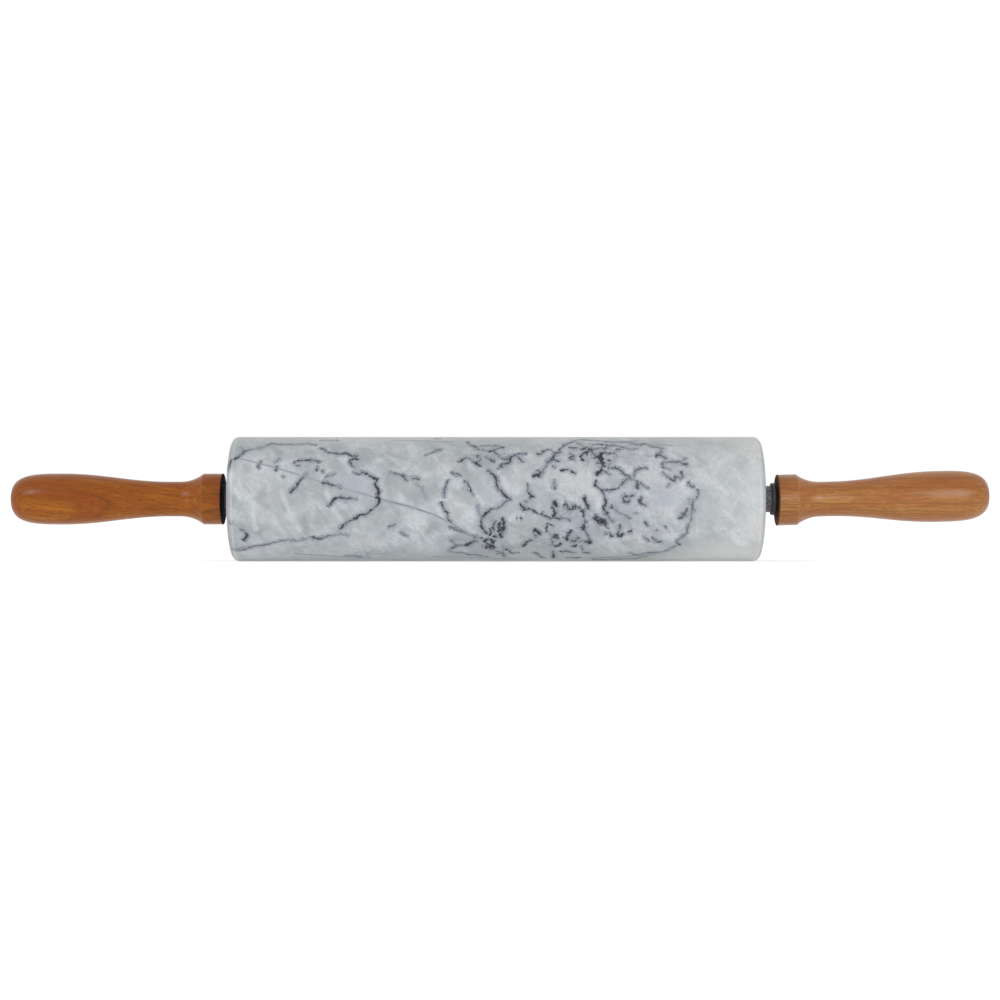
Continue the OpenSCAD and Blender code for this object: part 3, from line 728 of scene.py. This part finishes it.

# Lavender and grey patches are blotchy; the two widest grey ones are painted shade along the bottom.
# The stone is smudged where the veins crowd together, and sooty and bluish for a millimetre or two beside
# a vein.
SMUDGE_MM = 5.0
blotchy = add(tree, "MapRange", {0: puffs, 1: 0.35, 2: 0.6, 3: 0.4, 4: 1.0})
lavender = patch_field(tree, bend, LAVENDER_PATCHES)
lavender = add(tree, "Math", {0: lavender, 1: blotchy}, operation="MULTIPLY")
grey = patch_field(tree, bend, GREY_AND_SHADE_PATCHES)
grey = add(tree, "Math", {0: grey, 1: blotchy}, operation="MULTIPLY")
smudge = add(tree, "TexNoise", {"Vector": bend, "Scale": 1 / SMUDGE_MM, "Detail": 3.0,
             "Roughness": 0.55}, out="Fac")
smudge = add(tree, "MapRange", {0: smudge, 1: 0.52, 2: 0.64, 4: 0.6})
smudge = add(tree, "Math", {0: smudge, 1: crowd}, operation="MULTIPLY")
soot = add(tree, "MapRange", {0: veins, 1: -2.4, 2: 0.4, 4: 0.85}, interpolation_type="SMOOTHSTEP")
soot = add(tree, "Math", {0: soot, 1: blotchy}, operation="MULTIPLY")

# Colour of a vein by its strength: a lavender-grey blur, then slate, then near black.
# Towards the right, more of the white stone lies in them.
THINNER_FROM_MM = 52.0
THINNER_FULL_MM = 70.0
vein = add(tree, "MapRange", {0: veins, 1: -0.7, 2: 1.3})
vein = add(tree, "ValToRGB", {0: vein}, out=None)
ramp = vein.color_ramp.elements
ramp[0].color = linear(VEIN_BLUR)[:3] + [0]
ramp[1].color = linear(VEIN_BLACK)[:3] + [1]
for place, colour, cover in [(0.35, VEIN_GREY, 0.2), (0.6, VEIN_SLATE, 0.5), (0.8, VEIN_DARK, 0.84)]:
    ramp.new(place).color = linear(colour)[:3] + [cover]
veined = add(tree, "MapRange", {0: along, 1: THINNER_FROM_MM, 2: THINNER_FULL_MM, 3: 1.0, 4: 0.82})
veined = add(tree, "Math", {0: vein.outputs["Alpha"], 1: veined}, operation="MULTIPLY")

# A painted highlight runs along its rounded edges. Its end faces are duller and greyer, and the grey
# reaches onto the outer part of the edges as painted shade where they turn away
RIM_MM = 124.3
END_MM = 126.2
off_middle = add(tree, "Math", {0: x_mm}, operation="ABSOLUTE")
rim_highlight = add(tree, "Math", {0: off_middle, 1: RIM_MM}, operation="SUBTRACT")
rim_highlight = add(tree, "Math", {0: rim_highlight}, operation="ABSOLUTE")
rim_highlight = add(tree, "MapRange", {0: rim_highlight, 1: 0.8, 2: 0.1, 4: 0.35})
end_grey_and_shade = add(tree, "MapRange", {0: off_middle, 1: END_MM - 1, 2: END_MM, 4: 0.6})

# Each of these covers the ones before it, by its share
covers = [
    (warm, linear(STONE_WARM)), (green_tint, linear(STONE_GREEN)), (cream, linear(STONE_CREAM)),
    (streaks, linear(STONE_WHITE)), (seams, linear(STONE_WHITE)), (lavender, linear(STONE_LAVENDER)),
    (grey, linear(STONE_SHADE)), (smudge, linear(STONE_SOOT)), (side_shade, linear(STONE_GREEN)),
    (soot, linear(STONE_SOOT)), (veined, vein.outputs["Color"]), (rim_highlight, linear(STONE_CREAM)),
    (end_grey_and_shade, linear(STONE_END_GREY_AND_SHADE)),
]
for share, colour in covers:
    stone = add(tree, "Mix", {0: share, 6: stone, 7: colour}, out=2, data_type="RGBA")

# The polish is duller on the veins, and the hand feels the clouds only as a faint ripple
RIPPLE_MM = 0.3
MARBLE_IOR = 1.5
rough = add(tree, "MapRange", {0: veins, 1: -1.0, 2: 1.0, 3: 0.4, 4: 0.52})
bump = add(tree, "Bump", {"Height": puffs, "Strength": 0.15, "Distance": RIPPLE_MM * MM})
shader = add(tree, "BsdfPrincipled", {"Base Color": stone, "Roughness": rough, "IOR": MARBLE_IOR,
             "Normal": bump})
add(tree, "OutputMaterial", {"Surface": shader})
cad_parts["barrel"].material_slots[0].material = material

# Two sleeves of black nylon with a thin flange, moulded, pushed into the ends of the barrel's
# bore. The axle turns in them, and they slide a little, which greys their noses with stone dust.
# Moulded nylon has a dull sheen, and the dust lies on it in soft pale smears, a millimetre across
NYLON_BLACK = "#26262A"
NYLON_DUST = "#7C7A82"
NYLON_IOR = 1.53
DUSTY_TO_R_MM = 6.2
CLEAN_FROM_R_MM = 6.9
material, tree = new_material("black nylon, moulded, dusted with marble")
where = place_in_mm(tree)
part = add(tree, "SeparateXYZ", {0: where}, out=None).outputs
radius = add(tree, "CombineXYZ", {1: part[1], 2: part[2]})
radius = add(tree, "VectorMath", {0: radius}, out="Value", operation="LENGTH")
dusty = add(tree, "MapRange", {0: radius, 1: CLEAN_FROM_R_MM, 2: DUSTY_TO_R_MM, 3: 0.05, 4: 0.8})
dust = add(tree, "TexNoise", {"Vector": where, "Scale": 0.9, "Detail": 4.0}, out="Fac")
dust = add(tree, "MapRange", {0: dust, 1: 0.35, 2: 0.6})
dust = add(tree, "Math", {0: dust, 1: dusty}, operation="MULTIPLY")
colour = add(tree, "Mix", {0: dust, 6: linear(NYLON_BLACK), 7: linear(NYLON_DUST)}, out=2,
             data_type="RGBA")
shader = add(tree, "BsdfPrincipled", {"Base Color": colour, "Roughness": 0.5, "IOR": NYLON_IOR})
add(tree, "OutputMaterial", {"Surface": shader})
for name in ("left_bearing", "right_bearing"):
    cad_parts[name].material_slots[0].material = material

# The axle is one steel rod, thicker in its middle, ground where it turns in the sleeves and
# threaded at both ends, where it screws into the handles.
STEEL_DARK = "#8F9296"
STEEL_PALE = "#C4C6C9"
# Turning leaves fine lines round it, which spread its shine along it. They are about 0.1 mm
# apart, and drawn twice as far apart here, so that they show.
TURNING_PITCH_MM = 0.2
TURNING_LENGTH_MM = 6
material, tree = new_material("turned steel")
lines = add(tree, "VectorMath", {0: place_in_mm(tree),
            1: (1 / TURNING_PITCH_MM, 1 / TURNING_LENGTH_MM, 1 / TURNING_LENGTH_MM)}, operation="MULTIPLY")
lines = add(tree, "TexNoise", {"Vector": lines, "Scale": 1.0, "Detail": 2.0}, out="Fac")
rough = add(tree, "MapRange", {0: lines, 3: 0.25, 4: 0.5})
colour = add(tree, "Mix", {0: lines, 6: linear(STEEL_DARK), 7: linear(STEEL_PALE)}, out=2,
             data_type="RGBA")
shader = add(tree, "BsdfPrincipled", {"Base Color": colour, "Metallic": 1.0, "Roughness": rough})
add(tree, "OutputMaterial", {"Surface": shader})
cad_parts["axle"].material_slots[0].material = material

# A thin stamped washer of oil-blackened steel lies between each sleeve's flange and the handle,
# and turns with the handle.
# The oil leaves it near black, with a brown cast in blotches, and this near black also stands in
# as painted shade in the narrow gap between the flange and the handle
BLACKING_MM = 2.5
BLACKING_AND_SHADE_DARK = "#0E0B08"
BLACKING_AND_SHADE_BROWN = "#2A221B"
material, tree = new_material("oil-blackened steel")
blotches = add(tree, "TexNoise", {"Vector": place_in_mm(tree), "Scale": 1 / BLACKING_MM, "Detail": 4.0},
               out="Fac")
colour = add(tree, "Mix", {0: blotches, 6: linear(BLACKING_AND_SHADE_DARK), 7: linear(BLACKING_AND_SHADE_BROWN)}, out=2,
             data_type="RGBA")
shader = add(tree, "BsdfPrincipled", {"Base Color": colour, "Metallic": 0.6, "Roughness": 0.5})
add(tree, "OutputMaterial", {"Surface": shader})
for name in ("left_washer", "right_washer"):
    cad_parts[name].material_slots[0].material = material

# A barbed brass insert, turned and threaded inside, is glued into each handle's hole. The
# axle's end screws into it, and nothing of it shows.
# Turned brass is bright yellow, with duller brown spots of tarnish about 3 mm across
BRASS_TARNISH = "#A8823C"
BRASS_BRIGHT = "#D9BE7A"
material, tree = new_material("turned brass")
tarnish = add(tree, "TexNoise", {"Vector": place_in_mm(tree), "Scale": 0.3, "Detail": 4.0}, out="Fac")
colour = add(tree, "Mix", {0: tarnish, 6: linear(BRASS_TARNISH), 7: linear(BRASS_BRIGHT)}, out=2,
             data_type="RGBA")
shader = add(tree, "BsdfPrincipled", {"Base Color": colour, "Metallic": 1.0, "Roughness": 0.35})
add(tree, "OutputMaterial", {"Surface": shader})
for name in ("left_insert", "right_insert"):
    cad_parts[name].material_slots[0].material = material


# Each handle is turned from one length of cherry, stained light brown and dipped in satin
# lacquer. The left one was cut flat to the growth rings, so they close in an arch on its bulb.
# The right one was cut across them, so they run along it in nearly straight lines.
COLLAR_LENGTH_MM = 9.4
# A ring is given by its distance out from the handle's axis, in millimetres towards the bark,
# by how dark its late wood is, and by how red the wood is from there to the next.
LEFT_RINGS = [(-9.5, 0.2, 0.3), (-7, 0.1, 0.1), (-5, 0.2, 0.3), (-3.2, 0.1, 0), (-1.2, 0.2, 0.3),
              (0.8, 0.1, 0.1), (2.6, 0.2, 0.3), (4.2, 0.2, 0.1), (5.8, 0.1, 0.3), (7, 0.2, 0.4),
              (8.3, 0.1, 0.2), (9.8, 0.6, 1), (11.4, 0.2, 0.3)]
RIGHT_RINGS = [(-11.2, 0.9, 0.9), (-10.2, 0.8, 0.9), (-9.2, 0.6, 0.8), (-7.8, 0.5, 0.7), (-6.4, 0.6, 0.5),
               (-5, 0.7, 0.1), (-2.2, 0.3, 0.3), (-1, 0.7, 0.1), (0.7, 0.2, 0.3), (2.8, 0.4, 0),
               (4.6, 0.2, 0.4), (6.6, 0.5, 0.2), (8.4, 0.3, 0.5), (10.5, 0.5, 0.1)]
RING_REACH_MM = 14
LATE_WOOD_MM = 0.45
EARLY_WOOD_MM = 1.2
RING_END_MM = 0.2
# Noise drawn out along the grain: length and width in millimetres, detail and roughness. Cherry's
# pores are a tenth of a millimetre wide: they are drawn four times as wide, so that they show.
WAVES = (60, 12, 4.0, 0.5)
STREAKS = (60, 2.2, 4.0, 0.6)
FIBRES = (14, 0.7, 2.0, 0.6)
PORES = (3.2, 0.4, 1.0, 0.5)
BLOTCHES = (22, 7, 3.0, 0.5)
# The handle's flat face, in the narrow gap beside the barrel, is painted near black as shade,
# which fades out towards its rim
FACE_SHADE_BLACK = "#0C0503"
FACE_SHADE_R_MM = 7.5
FACE_SHADE_END_R_MM = 11.0
LACQUER_IOR = 1.5
LACQUER_DEPTH_MM = 0.06


def lacquered_cherry(name, rings, face_degrees, heart_mm, tilt_degrees, face_x_mm, gloss, colours):
    """Cherry under satin lacquer, whose lights are soft along the handle and duller on end grain.

    Its rings face the given angle up from the front, heart_mm out from the heart of the tree.
    """
    pale, middle, dark, red, end_grain, face_rim = colours
    material, tree = new_material(name)
    where = place_in_mm(tree)
    part = add(tree, "SeparateXYZ", {0: where}, out=None).outputs
    grain = add(tree, "Mapping", {"Vector": where, "Rotation": (0, math.radians(tilt_degrees), 0)},
                vector_type="TEXTURE")
    noises = []
    for length_mm, width_mm, detail, roughness in (WAVES, STREAKS, FIBRES, PORES, BLOTCHES):
        drawn_out = add(tree, "VectorMath", {0: grain, 1: (1 / length_mm, 1 / width_mm, 1 / width_mm)},
                        operation="MULTIPLY")
        noises.append(add(tree, "TexNoise", {"Vector": drawn_out, "Scale": 1.0, "Detail": detail,
                          "Roughness": roughness}, out="Fac"))
    waves, streak, fibre, pores, blotch = noises
    # The distance out from the handle's axis along the rings' radius, in slow waves of the grain
    face = math.radians(face_degrees)
    out_mm = add(tree, "VectorMath", {0: grain, 1: (0, -math.cos(face), math.sin(face))}, out="Value",
                 operation="DOT_PRODUCT")
    out_mm = add(tree, "Math", {0: out_mm, 1: heart_mm}, operation="ADD")
    side_mm = add(tree, "VectorMath", {0: grain, 1: (0, math.sin(face), math.cos(face))}, out="Value",
                  operation="DOT_PRODUCT")
    waves = add(tree, "MapRange", {0: waves, 3: -1.6, 4: 1.6})
    ring = add(tree, "CombineXYZ", {0: out_mm, 1: side_mm})
    ring = add(tree, "VectorMath", {0: ring}, out="Value", operation="LENGTH")
    ring = add(tree, "Math", {0: ring, 1: waves}, operation="ADD")
    ring = add(tree, "Math", {0: ring, 1: heart_mm}, operation="SUBTRACT")
    # Late wood is a dark line that starts softly and ends sharply
    step = add(tree, "MapRange", {0: ring, 1: -RING_REACH_MM, 2: RING_REACH_MM})
    late = add(tree, "FloatCurve", {"Value": step}, out=None)
    tint = add(tree, "FloatCurve", {"Value": step}, out=None)
    lines = [(0, 0)]
    tints = [(0, rings[0][2])]
    for out, darkness, red_share in rings:
        for off, share in [(-EARLY_WOOD_MM, 0), (-LATE_WOOD_MM, 0.4), (0, 1), (RING_END_MM, 0.1)]:
            lines.append(((out + off + RING_REACH_MM) / 2 / RING_REACH_MM, darkness * share))
        tints.append(((out + RING_REACH_MM) / 2 / RING_REACH_MM, tints[-1][1]))
        tints.append(((out + RING_END_MM + RING_REACH_MM) / 2 / RING_REACH_MM, red_share))
    set_curve(late, lines + [(1, 0)])
    set_curve(tint, tints + [(1, tints[-1][1])])
    faint = add(tree, "MapRange", {0: streak, 1: 0.35, 2: 0.6, 3: 0.35, 4: 1.0})
    late = add(tree, "Math", {0: late.outputs[0], 1: faint}, operation="MULTIPLY")
    pores = add(tree, "MapRange", {0: pores, 1: 0.42, 2: 0.28, 4: 0.6})
    late = add(tree, "Math", {0: late, 1: pores}, operation="MAXIMUM")
    # Streaks and fibres make the body, and the wood is redder towards the top
    body = add(tree, "Math", {0: streak, 1: fibre}, operation="ADD")
    body = add(tree, "MapRange", {0: body, 1: 0.81, 2: 1.19})
    towards_top = add(tree, "MapRange", {0: part[2], 1: -9.0, 2: 9.0, 4: 0.42})
    redness = add(tree, "MapRange", {0: blotch, 1: 0.35, 2: 0.65, 4: 0.4})
    redness = add(tree, "Math", {0: redness, 1: towards_top}, operation="ADD")
    redness = add(tree, "Math", {0: tint.outputs[0], 1: 0.4, 2: redness}, operation="MULTIPLY_ADD")
    # End grain drinks more stain, and a painted highlight runs along the collar's edge
    along_grain = add(tree, "TexCoord", {}, out="Normal")
    along_grain = add(tree, "SeparateXYZ", {0: along_grain})
    along_grain = add(tree, "Math", {0: along_grain}, operation="ABSOLUTE")
    stained = add(tree, "MapRange", {0: along_grain, 1: 0.45, 2: 0.8, 4: 0.75})
    ended = add(tree, "MapRange", {0: along_grain, 1: 0.8, 2: 0.97})
    off_face = add(tree, "Math", {0: part[0]}, operation="ABSOLUTE")
    off_face = add(tree, "Math", {0: off_face, 1: face_x_mm}, operation="SUBTRACT")
    collar_edge_highlight = add(tree, "Math", {0: off_face, 1: COLLAR_LENGTH_MM}, operation="SUBTRACT")
    collar_edge_highlight = add(tree, "Math", {0: collar_edge_highlight}, operation="ABSOLUTE")
    collar_edge_highlight = add(tree, "MapRange", {0: collar_edge_highlight, 1: 0.7, 2: 0.1, 4: 0.15})
    # The flat face round the hole is bare end grain, coloured with painted shade: near black round
    # the hole, fading to the rim's colour
    at_face = add(tree, "MapRange", {0: off_face, 1: 0.6, 2: 0.1}, interpolation_type="SMOOTHSTEP")
    radius = add(tree, "CombineXYZ", {1: part[1], 2: part[2]})
    radius = add(tree, "VectorMath", {0: radius}, out="Value", operation="LENGTH")
    radius = add(tree, "MapRange", {0: radius, 1: FACE_SHADE_R_MM, 2: FACE_SHADE_END_R_MM})
    face_shade = add(tree, "Mix", {0: radius, 6: linear(FACE_SHADE_BLACK), 7: linear(face_rim)}, out=2,
               data_type="RGBA")
    # Each of these covers the ones before it, by its share
    wood = linear(middle)
    for share, colour in [(body, linear(pale)), (redness, linear(red)), (late, linear(dark)),
                          (stained, linear(red)), (ended, linear(end_grain)), (collar_edge_highlight, linear(pale)),
                          (at_face, face_shade)]:
        wood = add(tree, "Mix", {0: share, 6: wood, 7: colour}, out=2, data_type="RGBA")
    # Lacquer sinks into the fibres and pores, and end grain drinks it up
    dull = add(tree, "Math", {0: ended, 1: at_face}, operation="MAXIMUM")
    satin = add(tree, "MapRange", {0: fibre, 1: 0.3, 2: 0.7, 3: 0.2, 4: 0.36})
    rough = add(tree, "Mix", {0: dull, 2: satin, 3: 1.0})
    height = add(tree, "Math", {0: fibre, 1: pores}, operation="SUBTRACT")
    bump = add(tree, "Bump", {"Height": height, "Strength": 0.35, "Distance": LACQUER_DEPTH_MM * MM})
    shader = add(tree, "BsdfPrincipled", {"Base Color": wood, "Roughness": rough, "IOR": LACQUER_IOR,
                 "Specular IOR Level": gloss, "Normal": bump})
    add(tree, "OutputMaterial", {"Surface": shader})
    return material


# Pale and middle wood, late wood, red heart wood, stained end grain and the rim of the flat face,
# whose painted shade on the left is as black as the rest of the face
LEFT_COLOURS = ("#AE6C12", "#864902", "#4E2202", "#8A4202", "#3E1C0A", "#0C0503")
RIGHT_COLOURS = ("#BE8640", "#925A18", "#5C320A", "#985410", "#5E3A1A", "#7A4A1E")
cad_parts["left_handle"].material_slots[0].material = lacquered_cherry(
    "stained cherry, flat cut, satin lacquer", LEFT_RINGS, face_degrees=21, heart_mm=35,
    tilt_degrees=7, face_x_mm=131.8, gloss=0.25, colours=LEFT_COLOURS)
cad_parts["right_handle"].material_slots[0].material = lacquered_cherry(
    "stained cherry, quarter cut, satin lacquer", RIGHT_RINGS, face_degrees=90, heart_mm=60,
    tilt_degrees=0, face_x_mm=135.6, gloss=0.5, colours=RIGHT_COLOURS)
